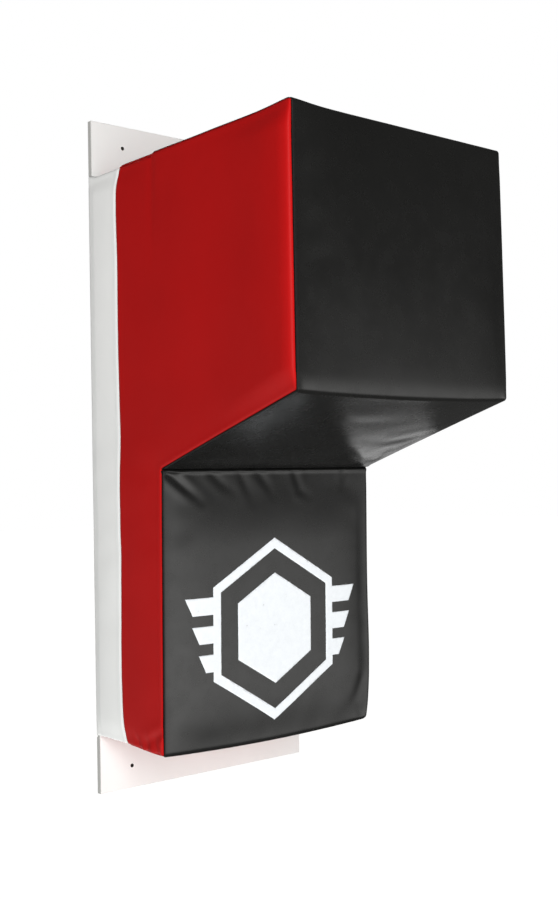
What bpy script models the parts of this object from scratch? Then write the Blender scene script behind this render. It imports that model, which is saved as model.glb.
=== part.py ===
"""Wall-mounted uppercut pad.

A laminated board carries a stepped foam body: a full-height base slab and, on its upper half, a
deep striking block whose underside slopes up towards the front, so a fist can be driven into it
from below. Firm foam facings cover the three struck faces. A sewn vinyl cover goes round it all:
red sides, top and bottom, two black striking panels, and white rear bands that wrap round the
board's edges and are stapled in a rebate on its back. The upper black panel is one sheet that
bends under the front edge. The top and bottom panels are blind-tacked to the board's front under
a strip.

Frame: metres, +Z up, the struck faces look along -Y and +X is to the right of someone facing them.
The origin is the centre of the board's back face, which lies against the wall (the plane y = 0).
"""

import math

import bmesh
import bpy
from mathutils import Matrix, Vector

# Board
BOARD_WIDTH = 0.350
BOARD_HEIGHT = 0.900
BOARD_THICKNESS = 0.008
BOARD_EDGE_CHAMFER = 0.0006
SCREW_HOLE_DIAMETER = 0.005
SCREW_HOLE_X = 0.125
SCREW_HOLE_Z = 0.420
SCREW_HOLE_SIDES = 24

# Padded body, over the cover
PAD_HEIGHT = 0.750
UPPER_DEPTH = 0.420
LOWER_DEPTH = 0.160
UPPER_FACE_BOTTOM_Z = 0.058
INNER_CORNER_Z = -0.022

# Layers
VINYL = 0.001
FACING = 0.010
GAP = 0.0003

# Cover joints
BAND_DEPTH = 0.075
HEM_WIDTH = 0.025
FLANGE_HEIGHT = 0.022
TACK_STRIP_THICKNESS = 0.0015
TACK_STRIP_HEIGHT = 0.014

# Staples: flat wire, bent to a U
STAPLE_WIRE_WIDTH = 0.0012
STAPLE_WIRE_THICKNESS = 0.0006
STAPLE_CROWN = 0.010
HEM_STAPLE_LEG_IN_BOARD = 0.0038
TACK_STAPLE_LEG_IN_BOARD = 0.0040
HEM_STAPLE_COUNT = 12
TACK_STAPLE_COUNT = 4

# Printed emblem on the lower face
PRINT_THICKNESS = 0.0003
EMBLEM_CENTRE_Z = -0.232
BADGE_RADIUS = 0.118
BADGE_STROKE = 0.014
BADGE_CORE_RADIUS = 0.072
BAR_HEIGHT = 0.022
BAR_PITCH = 0.036
BAR_REACH = (0.145, 0.135, 0.125)

# Worked-out planes
PAD_HALF = PAD_HEIGHT / 2
FOAM_HALF_WIDTH = BOARD_WIDTH / 2
COVER_IN_X = FOAM_HALF_WIDTH + GAP
COVER_OUT_X = COVER_IN_X + VINYL
COVER_INSET = VINYL + GAP
FOAM_TOP = PAD_HALF - COVER_INSET
FOAM_BACK_Y = -(BOARD_THICKNESS + GAP)
CORE_INSET = COVER_INSET + FACING + GAP
FLANGE_FRONT_Y = FOAM_BACK_Y - VINYL
STRIP_BACK_Y = FLANGE_FRONT_Y - GAP
STRIP_FRONT_Y = STRIP_BACK_Y - TACK_STRIP_THICKNESS
TACK_CROWN_BACK_Y = STRIP_FRONT_Y - GAP
TACK_NOTCH_Y = TACK_CROWN_BACK_Y - STAPLE_WIRE_THICKNESS - GAP
TACK_NOTCH_HEIGHT = FLANGE_HEIGHT + 0.002
HEM_BACK_Y = -(STAPLE_WIRE_THICKNESS + GAP)
HEM_FRONT_Y = HEM_BACK_Y - VINYL
REBATE_Y = HEM_FRONT_Y - GAP
HEM_INNER_X = COVER_OUT_X - HEM_WIDTH

# Colours: linear RGB, roughness, metallic
RED_VINYL = ((0.38, 0.012, 0.012), 0.38, 0.0)
BLACK_VINYL = ((0.022, 0.022, 0.022), 0.42, 0.0)
WHITE_VINYL = ((0.72, 0.72, 0.71), 0.45, 0.0)
WHITE_LAMINATE = ((0.82, 0.82, 0.80), 0.35, 0.0)
WHITE_PRINT = ((0.80, 0.82, 0.84), 0.50, 0.0)
SOFT_FOAM = ((0.10, 0.11, 0.13), 0.95, 0.0)
FIRM_FOAM = ((0.05, 0.05, 0.055), 0.85, 0.0)
FIBRE_STRIP = ((0.45, 0.33, 0.20), 0.80, 0.0)
STAPLE_STEEL = ((0.55, 0.55, 0.56), 0.30, 1.0)


def clear_scene():
    for item in list(bpy.data.objects):
        bpy.data.objects.remove(item, do_unlink=True)


def material(name, look):
    colour, roughness, metallic = look
    made = bpy.data.materials.new(name)
    made.use_nodes = True
    shader = made.node_tree.nodes["Principled BSDF"]
    shader.inputs["Base Color"].default_value = (*colour, 1.0)
    shader.inputs["Roughness"].default_value = roughness
    shader.inputs["Metallic"].default_value = metallic
    return made


def place(name, mesh, look, parent):
    mesh.materials.append(look)
    piece = bpy.data.objects.new(name, mesh)
    bpy.context.collection.objects.link(piece)
    piece.parent = parent
    return piece


def prism(name, outline, to_space, low, high):
    """A closed solid: a flat outline, given as (a, b) points, extruded from low to high.

    to_space turns a, b and the extrusion's distance into a point in space.
    """
    bm = bmesh.new()
    rim = [bm.verts.new(to_space(a, b, low)) for a, b in outline]
    start = bm.faces.new(rim)
    grown = bmesh.ops.extrude_face_region(bm, geom=[start])
    far = [v for v in grown["geom"] if isinstance(v, bmesh.types.BMVert)]
    shift = Vector(to_space(0, 0, high)) - Vector(to_space(0, 0, low))
    bmesh.ops.translate(bm, verts=far, vec=shift)
    bmesh.ops.recalc_face_normals(bm, faces=bm.faces)
    mesh = bpy.data.meshes.new(name)
    bm.to_mesh(mesh)
    bm.free()
    return mesh


def side_view(y, z, x):
    return (x, y, z)


def plan_view(x, y, z):
    return (x, y, z)


def front_view(x, z, y):
    return (x, y, z)


def box(name, low, high):
    """A box with its sides along the axes, between two corners."""
    bm = bmesh.new()
    bmesh.ops.create_cube(bm, size=1)
    size = [top - bottom for bottom, top in zip(low, high)]
    centre = [(top + bottom) / 2 for bottom, top in zip(low, high)]
    bmesh.ops.transform(bm, matrix=Matrix.Translation(centre) @ Matrix.Diagonal((*size, 1)),
                        verts=bm.verts)
    mesh = bpy.data.meshes.new(name)
    bm.to_mesh(mesh)
    bm.free()
    return mesh


def cutter(name, mesh, parent):
    piece = bpy.data.objects.new(name, mesh)
    bpy.context.collection.objects.link(piece)
    piece.parent = parent
    piece.hide_render = True
    piece.display_type = "WIRE"
    return piece


def cut(piece, tool):
    modifier = piece.modifiers.new(tool.name, "BOOLEAN")
    modifier.operation = "DIFFERENCE"
    modifier.solver = "EXACT"
    modifier.object = tool


def struck_profile(inset):
    """The front of the body seen from the side, as (y, z) points, moved inwards by inset.

    It runs down the upper face, back along the sloping underside and down the lower face.
    Neighbouring faces meet on their mitre line.
    """
    corners = [
        Vector((-UPPER_DEPTH, PAD_HALF)),
        Vector((-UPPER_DEPTH, UPPER_FACE_BOTTOM_Z)),
        Vector((-LOWER_DEPTH, INNER_CORNER_Z)),
        Vector((-LOWER_DEPTH, -PAD_HALF)),
    ]
    runs = [(b - a).normalized() for a, b in zip(corners, corners[1:])]
    inward = [Vector((-run.y, run.x)) for run in runs]
    moved = [corners[0] + inward[0] * inset]
    for corner, before, after in zip(corners[1:-1], inward, inward[1:]):
        bisector = (before + after).normalized()
        moved.append(corner + bisector * (inset / bisector.dot(after)))
    moved.append(corners[-1] + inward[-1] * inset)
    return moved


def face_strip(index, outside, inside, top=None, bottom=None):
    """One struck face's layer, between two insets, as a (y, z) outline with mitred ends.

    Its ends stand back from its neighbours by half a gap, or stop at the heights given.
    """
    outer, inner = struck_profile(outside), struck_profile(inside)
    run = (outer[index + 1] - outer[index]).normalized() * GAP
    points = [outer[index] + run, outer[index + 1] - run, inner[index + 1] - run, inner[index] + run]
    if top is not None:
        points[0].y = points[3].y = top
    if bottom is not None:
        points[1].y = points[2].y = bottom
    return points


def spread(count, reach):
    """count places, evenly spaced from -reach to reach."""
    return [reach * (2 * i / (count - 1) - 1) for i in range(count)]


def make_board(look, parent):
    board = place("backboard", box("backboard",
                  (-BOARD_WIDTH / 2, -BOARD_THICKNESS, -BOARD_HEIGHT / 2),
                  (BOARD_WIDTH / 2, 0, BOARD_HEIGHT / 2)), look, parent)
    edge = board.modifiers.new("edge_banding", "BEVEL")
    edge.width = BOARD_EDGE_CHAMFER
    edge.segments = 1
    bm = bmesh.new()
    for x in (-SCREW_HOLE_X, SCREW_HOLE_X):
        for z in (-SCREW_HOLE_Z, SCREW_HOLE_Z):
            turn = Matrix.Translation((x, -BOARD_THICKNESS / 2, z)) @ Matrix.Rotation(math.pi / 2, 4, "X")
            bmesh.ops.create_cone(bm, cap_ends=True, segments=SCREW_HOLE_SIDES,
                                  radius1=SCREW_HOLE_DIAMETER / 2, radius2=SCREW_HOLE_DIAMETER / 2,
                                  depth=BOARD_THICKNESS * 2, matrix=turn)
    drill = bpy.data.meshes.new("screw_hole_drill")
    bm.to_mesh(drill)
    bm.free()
    cut(board, cutter("screw_hole_drill", drill, parent))
    for side, name in ((-1, "left"), (1, "right")):
        edges = sorted((side * (HEM_INNER_X - GAP), side * (FOAM_HALF_WIDTH + GAP)))
        groove = box(f"{name}_rebate", (edges[0], REBATE_Y, -PAD_HALF - GAP),
                     (edges[1], BOARD_THICKNESS, PAD_HALF + GAP))
        cut(board, cutter(f"{name}_rebate", groove, parent))
    return board


def make_foam(soft, firm, parent):
    core = struck_profile(CORE_INSET)
    slab_front_y = core[2].x
    notch_z = PAD_HALF - TACK_NOTCH_HEIGHT
    slab = [(slab_front_y, FOAM_TOP), (TACK_NOTCH_Y, FOAM_TOP), (TACK_NOTCH_Y, notch_z),
            (FOAM_BACK_Y, notch_z), (FOAM_BACK_Y, -notch_z), (TACK_NOTCH_Y, -notch_z),
            (TACK_NOTCH_Y, -FOAM_TOP), (slab_front_y, -FOAM_TOP)]
    block_back_y = slab_front_y - GAP
    slope = (core[2].y - core[1].y) / (core[2].x - core[1].x)
    block_back_z = core[1].y + slope * (block_back_y - core[1].x)
    block = [(core[1].x, FOAM_TOP), (core[1].x, core[1].y), (block_back_y, block_back_z),
             (block_back_y, FOAM_TOP)]
    facing = (COVER_INSET, COVER_INSET + FACING)
    layers = (
        ("base_foam_slab", slab, soft),
        ("upper_foam_block", block, soft),
        ("upper_face_firm_foam", face_strip(0, *facing, top=FOAM_TOP), firm),
        ("underside_firm_foam", face_strip(1, *facing), firm),
        ("lower_face_firm_foam", face_strip(2, *facing, bottom=-FOAM_TOP), firm),
    )
    for name, outline, look in layers:
        mesh = prism(name, outline, side_view, -FOAM_HALF_WIDTH, FOAM_HALF_WIDTH)
        place(name, mesh, look, parent)


def make_side_panels(look, parent):
    profile = struck_profile(0)
    seam_y = -(BAND_DEPTH + GAP)
    outline = [(seam_y, PAD_HALF), *[(p.x, p.y) for p in profile], (seam_y, -PAD_HALF)]
    for side, name in ((-1, "left_side_panel"), (1, "right_side_panel")):
        low, high = sorted((side * COVER_IN_X, side * COVER_OUT_X))
        place(name, prism(name, outline, side_view, low, high), look, parent)


def make_front_panels(look, parent):
    """The upper sheet bends under the front edge; the lower one is sewn to it in the inner corner."""
    outer, inner = struck_profile(0), struck_profile(VINYL)
    seam = (outer[2] - outer[1]).normalized() * GAP
    upper = [outer[0], outer[1], outer[2] - seam, inner[2] - seam, inner[1], inner[0]]
    panels = (
        ("upper_front_panel", [(p.x, p.y) for p in upper]),
        ("lower_front_panel", face_strip(2, 0, VINYL, bottom=-PAD_HALF)),
    )
    for name, outline in panels:
        place(name, prism(name, outline, side_view, -FOAM_HALF_WIDTH, FOAM_HALF_WIDTH), look, parent)


def end_panel_outline(depth, up):
    """The top panel (up = 1) or bottom panel (up = -1) with its flange against the board."""
    front_y = -(depth - COVER_INSET)
    points = [(front_y, PAD_HALF), (FOAM_BACK_Y, PAD_HALF), (FOAM_BACK_Y, PAD_HALF - FLANGE_HEIGHT),
              (FLANGE_FRONT_Y, PAD_HALF - FLANGE_HEIGHT), (FLANGE_FRONT_Y, PAD_HALF - VINYL),
              (front_y, PAD_HALF - VINYL)]
    return [(y, up * z) for y, z in points]


def make_end_panels(look, parent):
    for name, depth, up in (("top_panel", UPPER_DEPTH, 1), ("bottom_panel", LOWER_DEPTH, -1)):
        mesh = prism(name, end_panel_outline(depth, up), side_view, -FOAM_HALF_WIDTH, FOAM_HALF_WIDTH)
        place(name, mesh, look, parent)


def make_rear_bands(look, parent):
    bend = [(COVER_OUT_X, -BAND_DEPTH), (COVER_OUT_X, HEM_BACK_Y), (HEM_INNER_X, HEM_BACK_Y),
            (HEM_INNER_X, HEM_FRONT_Y), (COVER_IN_X, HEM_FRONT_Y), (COVER_IN_X, -BAND_DEPTH)]
    for side, name in ((-1, "left_rear_band"), (1, "right_rear_band")):
        outline = [(side * x, y) for x, y in bend]
        place(name, prism(name, outline, plan_view, -PAD_HALF, PAD_HALF), look, parent)


def make_tack_strips(look, parent):
    half_length = FOAM_HALF_WIDTH - 0.003
    middle = PAD_HALF - FLANGE_HEIGHT / 2 - VINYL
    for name, up in (("top_tack_strip", 1), ("bottom_tack_strip", -1)):
        strip = box(name, (-half_length, STRIP_FRONT_Y, up * middle - TACK_STRIP_HEIGHT / 2),
                    (half_length, STRIP_BACK_Y, up * middle + TACK_STRIP_HEIGHT / 2))
        place(name, strip, look, parent)


def staple_mesh(name, leg):
    """A staple whose crown lies along X with its outer face at y = 0, its legs along -Y."""
    half, wire = STAPLE_CROWN / 2, STAPLE_WIRE_THICKNESS
    outline = [(-half, 0), (half, 0), (half, -wire - leg), (half - wire, -wire - leg),
               (half - wire, -wire), (-half + wire, -wire), (-half + wire, -wire - leg),
               (-half, -wire - leg)]
    return prism(name, outline, plan_view, -STAPLE_WIRE_WIDTH / 2, STAPLE_WIRE_WIDTH / 2)


def leg_holes(name, places, leg):
    """One cutter with a square pilot hole round each leg of the staples at places."""
    bm = bmesh.new()
    middle = (STAPLE_CROWN - STAPLE_WIRE_THICKNESS) / 2
    size = (STAPLE_WIRE_THICKNESS + 2 * GAP, leg + 2 * GAP, STAPLE_WIRE_WIDTH + 2 * GAP)
    for at in places:
        for x in (-middle, middle):
            local = Matrix.Translation((x, -STAPLE_WIRE_THICKNESS - leg / 2, 0))
            bmesh.ops.create_cube(bm, size=1, matrix=at @ local @ Matrix.Diagonal((*size, 1)))
    mesh = bpy.data.meshes.new(name)
    bm.to_mesh(mesh)
    bm.free()
    return mesh


def make_staples(group, places, leg, look, parent, pierced):
    """Staples at each place, all of one mesh, and their pilot holes in the pieces they pierce."""
    shared = staple_mesh(group, leg)
    shared.materials.append(look)
    for number, at in enumerate(places, 1):
        staple = bpy.data.objects.new(f"{group}_{number:02d}", shared)
        bpy.context.collection.objects.link(staple)
        staple.parent = parent
        staple.matrix_local = at
    holes = cutter(f"{group}_holes", leg_holes(f"{group}_holes", places, leg), parent)
    for name in pierced:
        cut(bpy.data.objects[name], holes)


def make_all_staples(look, parent):
    upright = Matrix.Rotation(math.pi / 2, 4, "Y")
    faces_front = Matrix.Rotation(math.pi, 4, "Z")
    hem_leg = HEM_STAPLE_LEG_IN_BOARD + (HEM_BACK_Y - REBATE_Y) + GAP
    hem_x = (HEM_INNER_X + FOAM_HALF_WIDTH) / 2
    hem_z = spread(HEM_STAPLE_COUNT, PAD_HALF - STAPLE_CROWN * 1.5)
    for side, name in ((-1, "left"), (1, "right")):
        places = [Matrix.Translation((side * hem_x, 0, z)) @ upright for z in hem_z]
        make_staples(f"{name}_hem_staple", places, hem_leg, look, parent,
                     ("backboard", f"{name}_rear_band"))
    tack_leg = TACK_STAPLE_LEG_IN_BOARD - BOARD_THICKNESS - TACK_CROWN_BACK_Y + GAP
    tack_x = spread(TACK_STAPLE_COUNT, FOAM_HALF_WIDTH - STAPLE_CROWN * 2)
    crown_y = TACK_CROWN_BACK_Y - STAPLE_WIRE_THICKNESS
    height = PAD_HALF - FLANGE_HEIGHT / 2 - VINYL
    for up, name in ((1, "top"), (-1, "bottom")):
        places = [Matrix.Translation((x, crown_y, up * height)) @ faces_front for x in tack_x]
        make_staples(f"{name}_tack_staple", places, tack_leg, look, parent,
                     ("backboard", f"{name}_tack_strip", f"{name}_panel"))


def hexagon(radius):
    """The corners of a hexagon that stands on a point, from the top."""
    turns = [math.radians(90 + 60 * i) for i in range(6)]
    return [(radius * math.cos(turn), radius * math.sin(turn)) for turn in turns]


def badge_outline():
    """A hexagon with bars on its two upright sides, going round it clockwise from the top."""
    flat_x = BADGE_RADIUS * math.cos(math.pi / 6)
    corner_z = BADGE_RADIUS / 2
    right = [(0, BADGE_RADIUS), (flat_x, corner_z)]
    middle = (len(BAR_REACH) - 1) / 2
    for row, reach in enumerate(BAR_REACH):
        z = (middle - row) * BAR_PITCH
        tip = reach - BAR_HEIGHT / 2
        right += [(flat_x, z + BAR_HEIGHT / 2), (reach, z + BAR_HEIGHT / 2),
                  (tip, z - BAR_HEIGHT / 2), (flat_x, z - BAR_HEIGHT / 2)]
    right += [(flat_x, -corner_z), (0, -BADGE_RADIUS)]
    left = [(-x, z) for x, z in reversed(right[1:-1])]
    return right + left


def make_emblem(look, parent):
    """Nested hexagons printed on the lower face: a frame with side bars, and a solid core in it."""
    back_y = -(LOWER_DEPTH + GAP)
    front_y = back_y - PRINT_THICKNESS
    outline = [(x, z + EMBLEM_CENTRE_Z) for x, z in badge_outline()]
    frame = place("badge_print", prism("badge_print", outline, front_view, front_y, back_y), look, parent)
    window = [(x, z + EMBLEM_CENTRE_Z) for x, z in hexagon(BADGE_RADIUS - BADGE_STROKE)]
    punch = prism("badge_window", window, front_view, front_y - GAP, back_y + GAP)
    cut(frame, cutter("badge_window", punch, parent))
    core = [(x, z + EMBLEM_CENTRE_Z) for x, z in hexagon(BADGE_CORE_RADIUS)]
    place("badge_core_print", prism("badge_core_print", core, front_view, front_y, back_y), look, parent)


def main():
    clear_scene()
    root = bpy.data.objects.new("uppercut_pad", None)
    bpy.context.collection.objects.link(root)
    red = material("red_vinyl", RED_VINYL)
    black = material("black_vinyl", BLACK_VINYL)
    steel = material("staple_steel", STAPLE_STEEL)
    make_board(material("white_laminate", WHITE_LAMINATE), root)
    make_foam(material("soft_foam", SOFT_FOAM), material("firm_foam", FIRM_FOAM), root)
    make_side_panels(red, root)
    make_front_panels(black, root)
    make_end_panels(red, root)
    make_rear_bands(material("white_vinyl", WHITE_VINYL), root)
    make_tack_strips(material("fibre_strip", FIBRE_STRIP), root)
    make_all_staples(steel, root)
    make_emblem(material("white_print", WHITE_PRINT), root)


main()
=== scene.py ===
"""The wall-mounted uppercut pad, dressed: sewn vinyl cover, print, board, light and camera.

Each vinyl panel starts as a grid on the cover's flat shape, taken from the CAD's boxes. Its edges are
rounded, a cloth simulation under pressure swells it between its seams, and then seam valleys, puckers
and creases are worked into it. Lengths are metres, +Z is up and the struck faces look along -Y.
"""

import math

import bmesh
import bpy
import numpy as np
from mathutils import Matrix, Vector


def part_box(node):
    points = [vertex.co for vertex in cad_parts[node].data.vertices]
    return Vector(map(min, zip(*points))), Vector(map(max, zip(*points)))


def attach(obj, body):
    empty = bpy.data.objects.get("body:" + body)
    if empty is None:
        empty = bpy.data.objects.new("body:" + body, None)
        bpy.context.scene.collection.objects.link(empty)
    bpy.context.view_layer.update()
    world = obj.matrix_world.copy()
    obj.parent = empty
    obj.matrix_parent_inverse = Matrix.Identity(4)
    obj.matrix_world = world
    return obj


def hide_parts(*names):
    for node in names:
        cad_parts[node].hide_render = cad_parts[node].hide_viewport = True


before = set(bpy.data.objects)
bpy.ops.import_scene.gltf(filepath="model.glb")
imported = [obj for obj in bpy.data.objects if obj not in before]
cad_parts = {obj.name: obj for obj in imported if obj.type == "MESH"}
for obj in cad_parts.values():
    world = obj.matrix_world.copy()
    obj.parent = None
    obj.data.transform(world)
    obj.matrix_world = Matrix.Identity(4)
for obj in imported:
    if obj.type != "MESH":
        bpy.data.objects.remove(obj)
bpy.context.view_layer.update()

# The cover's flat shape
side_low, side_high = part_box("right_side_panel")
front_low, front_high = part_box("upper_front_panel")
lower_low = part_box("lower_front_panel")[0]
board_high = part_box("backboard")[1]
band_low, band_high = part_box("right_rear_band")
top_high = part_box("top_panel")[1]
HALF_WIDTH = side_high[0]
TOP = front_high[2]
BOTTOM = side_low[2]
FRONT_Y = front_low[1]
STEP_Y = lower_low[1]
INNER_Z = front_low[2]
FACE_BOTTOM_Z = 0.058
BACK_Y = top_high[1]
BAND_Y = band_low[1]
HEM_X = HALF_WIDTH - 0.025
HEM_BACK_Y = band_high[1]
VINYL = 0.001
# The full-width panels, in their order from the wall over the front and back to the wall.
ROUND = ("top", "upper", "lower", "bottom")

# Soft shape: the radii of its rounded edges, and how far its faces swell
ROLL_TOP = 0.0050
ROLL_UNDER = 0.0048
ROLL_BOTTOM = 0.0055
ROLL_ACROSS = 0.0006
ROLL_FRONT = 0.0058
ROLL_END = 0.0032
ROLL_LEVEL = 0.0006
HEM_ACROSS = 0.0042
HEM_DOWN = 0.0040
SWELL_CAP = 0.0052
REAR_SWELL = 0.0030
BOTTOM_SAG = 0.0050

# The side's outline, its two ends carried on behind the wall, so that nothing is rounded there.
BEHIND_WALL = 0.05
PROFILE = np.array([(BEHIND_WALL, TOP), (FRONT_Y, TOP), (FRONT_Y, FACE_BOTTOM_Z), (STEP_Y, INNER_Z),
                    (STEP_Y, BOTTOM), (BEHIND_WALL, BOTTOM)])
RUNS = np.diff(PROFILE, axis=0)
RUN_LENGTH = np.linalg.norm(RUNS, axis=1)
RUN_DIR = RUNS / RUN_LENGTH[:, None]
# The profile runs anticlockwise seen from +X, so its outside is on the right of each run.
OUTWARD = np.stack([RUN_DIR[:, 1], -RUN_DIR[:, 0]], axis=1)
RUN_START = np.concatenate([[0], np.cumsum(RUN_LENGTH)])
ROLLED_CORNERS = ((1, ROLL_TOP), (2, ROLL_UNDER), (4, ROLL_BOTTOM))


def smooth(t):
    t = np.clip(t, 0, 1)
    return t * t * (3 - 2 * t)


def wave(t, length, seed):
    """Smooth uneven ripple between about -1 and 1, of about that wavelength."""
    rng = np.random.default_rng(seed)
    total = 0
    for _ in range(5):
        total = total + np.sin(t * (2 * math.pi / (length * rng.uniform(0.65, 1.7))) + rng.uniform(0, 6.28))
    return total / 2.6


def lump(points, size, seed):
    """Smooth uneven lumps in space between about -1 and 1."""
    rng = np.random.default_rng(seed)
    total = 0
    for _ in range(8):
        way = rng.normal(size=3)
        way /= np.linalg.norm(way) * size * rng.uniform(0.7, 1.5)
        total = total + np.sin(points @ way * 2 * math.pi + rng.uniform(0, 6.28))
    return total / 3.2


def skin(points):
    """For flat-shape points: the rounded place, the outward direction, the distance from the side's
    outline and the place along it."""
    shape = points.shape
    p = points.reshape(-1, 3)
    x, q = p[:, 0], p[:, 1:].copy()
    outward = np.zeros_like(q)
    edge = np.full(len(q), 9.0)
    along = np.zeros(len(q))
    rolled = np.zeros(len(q), bool)
    for k, radius in ROLLED_CORNERS:
        a, b = OUTWARD[k - 1], OUTWARD[k]
        centre = PROFILE[k] - radius * (a + b) / (1 + a @ b)
        d = q - centre
        parts = np.linalg.solve(np.stack([a, b], axis=1), d.T).T
        near = (parts[:, 0] > 0) & (parts[:, 1] > 0) & (np.abs(d).max(axis=1) < 2.5 * radius)
        u = d / np.maximum(np.linalg.norm(d, axis=1), 1e-9)[:, None]
        scale = np.maximum(u @ a, u @ b)
        moved = centre + d * scale[:, None]
        q[near] = moved[near]
        outward[near] = u[near]
        edge[near] = np.maximum(radius - np.linalg.norm(moved - centre, axis=1), 0)[near]
        share = np.arctan2(np.abs(u @ RUN_DIR[k - 1]), u @ a) / math.acos(np.clip(a @ b, -1, 1))
        along[near] = (RUN_START[k] + radius * (share * 2 - 1) * 0.9)[near]
        rolled |= near
    gaps, places = [], []
    for k in range(5):
        t = np.clip((q - PROFILE[k]) @ RUN_DIR[k], 0, RUN_LENGTH[k])
        gaps.append(np.linalg.norm(q - PROFILE[k] - t[:, None] * RUN_DIR[k], axis=1))
        places.append(RUN_START[k] + t)
    gaps, places = np.array(gaps), np.array(places)
    nearest = gaps.argmin(axis=0)
    rows = np.arange(len(q))
    plain = ~rolled
    edge[plain] = gaps[nearest, rows][plain]
    along[plain] = places[nearest, rows][plain]
    outward[plain] = OUTWARD[nearest][plain]
    corner = plain & (np.linalg.norm(q - PROFILE[3], axis=1) < 0.03)
    if corner.any():
        w2, w3 = (1 / (gaps[k][corner] + 0.002) ** 2 for k in (2, 3))
        mixed = OUTWARD[2] * w2[:, None] + OUTWARD[3] * w3[:, None]
        outward[corner] = mixed / np.linalg.norm(mixed, axis=1)[:, None]
    side = np.where(x < 0, -1.0, 1.0)
    inset = HALF_WIDTH - np.abs(x)
    forward = outward[:, 0] ** 2
    lower = np.where(forward < 0.5, np.clip(-outward[:, 1], 0, 1), 0)
    lower = lower * np.where(q[:, 1] < BOTTOM + 0.02, 1.0, 0.35)
    across = ROLL_ACROSS + (1 - forward) * (ROLL_LEVEL + HEM_ACROSS * lower)
    down = ROLL_END + (ROLL_FRONT - ROLL_END) * forward + HEM_DOWN * lower
    radius = np.stack([across, down], axis=1)
    d = 1 - np.stack([inset, edge], axis=1) / radius
    near = (d[:, 0] > 0) & (d[:, 1] > 0)
    u = d / np.maximum(np.linalg.norm(d, axis=1), 1e-9)[:, None]
    moved = radius * (1 - d * u.max(axis=1)[:, None])
    u = u / radius
    u = u / np.linalg.norm(u, axis=1)[:, None]
    new_inset = np.where(near, moved[:, 0], inset)
    shift = np.where(near, moved[:, 1] - edge, 0)
    q = q - outward * shift[:, None]
    placed = np.column_stack([side * (HALF_WIDTH - new_inset), q])
    on_side = inset < 1e-6
    weight_x = np.where(near, u[:, 0], np.where(on_side, 1.0, 0.0))
    weight_q = np.where(near, u[:, 1], np.where(on_side, 0.0, 1.0))
    normal = np.column_stack([side * weight_x, outward * weight_q[:, None]])
    normal /= np.linalg.norm(normal, axis=1)[:, None]
    return placed.reshape(shape), normal.reshape(shape), edge.reshape(shape[:-1]), along.reshape(shape[:-1])


def steps(low, high, pitch, fine=(True, True)):
    """Places from low to high, about a pitch apart, closer together at the fine ends."""
    lead = np.array([0, 0.0009, 0.0018, 0.0028, 0.0040, 0.0054, 0.0072, 0.0094, 0.0120])
    length = high - low
    head = lead if fine[0] else lead[:1]
    tail = (length - lead[::-1]) if fine[1] else np.array([length])
    middle = tail[0] - head[-1]
    count = max(1, math.ceil(middle / pitch))
    inner = head[-1] + middle * np.arange(1, count) / count
    return low + np.concatenate([head, inner, tail])


def slope_z(y):
    """The height of the cover's lower edge on the side, in front of the step."""
    share = np.clip((y - FRONT_Y) / (STEP_Y - FRONT_Y), 0, 1)
    return FACE_BOTTOM_Z + (INNER_Z - FACE_BOTTOM_Z) * share


class Layout:
    """Grid lines that neighbouring panels share along their seams."""

    def __init__(self, pitch, fine):
        both = (fine, fine)
        self.lap = 5 if fine else 0
        self.x = steps(-HALF_WIDTH, HALF_WIDTH, pitch, both)
        self.y_front = steps(FRONT_Y, STEP_Y, pitch, both)
        self.y_mid = steps(STEP_Y, BAND_Y, pitch, both)
        self.y_band = steps(BAND_Y, BACK_Y, pitch, (fine, False))
        self.z_low = steps(BOTTOM, INNER_Z, pitch, both)
        rise = TOP - FACE_BOTTOM_Z
        self.share = steps(0, rise, pitch, both) / rise

    def path(self, name):
        """The (y, z) points that a full-width panel runs along."""
        if name == "top":
            y = np.concatenate([self.y_front[self.lap:], self.y_mid[1:], self.y_band[1:]])[::-1]
            return np.column_stack([y, np.full(len(y), TOP)])
        if name == "upper":
            z = (FACE_BOTTOM_Z + self.share * (TOP - FACE_BOTTOM_Z))[::-1]
            face = np.column_stack([np.full(len(z), FRONT_Y), z])
            under = np.column_stack([self.y_front, slope_z(self.y_front)])
            over = self.y_front[self.lap:0:-1]
            over = np.column_stack([over, np.full(len(over), TOP)])
            return np.concatenate([over, face, under[1:]])
        if name == "lower":
            z = self.z_low[::-1]
            under = self.y_mid[1:self.lap + 1]
            under = np.column_stack([under, np.full(len(under), BOTTOM)])
            return np.concatenate([np.column_stack([np.full(len(z), STEP_Y), z]), under])
        y = np.concatenate([self.y_mid[self.lap:], self.y_band[1:]])
        return np.column_stack([y, np.full(len(y), BOTTOM)])

    def front(self, name):
        path = self.path(name)
        points = np.zeros((len(path), len(self.x), 3))
        points[:, :, 0] = self.x[None, :]
        points[:, :, 1:] = path[:, None, :]
        return points

    def side(self, sign, y):
        """Points (columns along y, rows up) on a side, and which of them lie on the cover."""
        rows = len(self.z_low) + len(self.share) - 1
        points = np.zeros((len(y), rows, 3))
        points[:, :, 0] = sign * HALF_WIDTH
        points[:, :, 1] = y[:, None]
        points[:, :len(self.z_low), 2] = self.z_low[None, :]
        low = slope_z(y)[:, None]
        points[:, len(self.z_low) - 1:, 2] = low + self.share[None, :] * (TOP - low)
        there = np.ones((len(y), rows), bool)
        there[:, :len(self.z_low) - 1] = (y > STEP_Y - 1e-7)[:, None]
        return points, there

    def rows(self):
        low = (self.z_low - BOTTOM) / (INNER_Z - BOTTOM)
        return np.concatenate([low, 1 + self.share[1:]])

    def run(self, name):
        """The length along the cover, from the back of the top, of each row of a full-width panel."""
        whole = end_to_end([self.path(n) for n in ROUND])
        first = sum(len(self.path(n)) - 1 for n in ROUND[:ROUND.index(name)])
        return path_length(whole)[first:first + len(self.path(name))]


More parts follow.
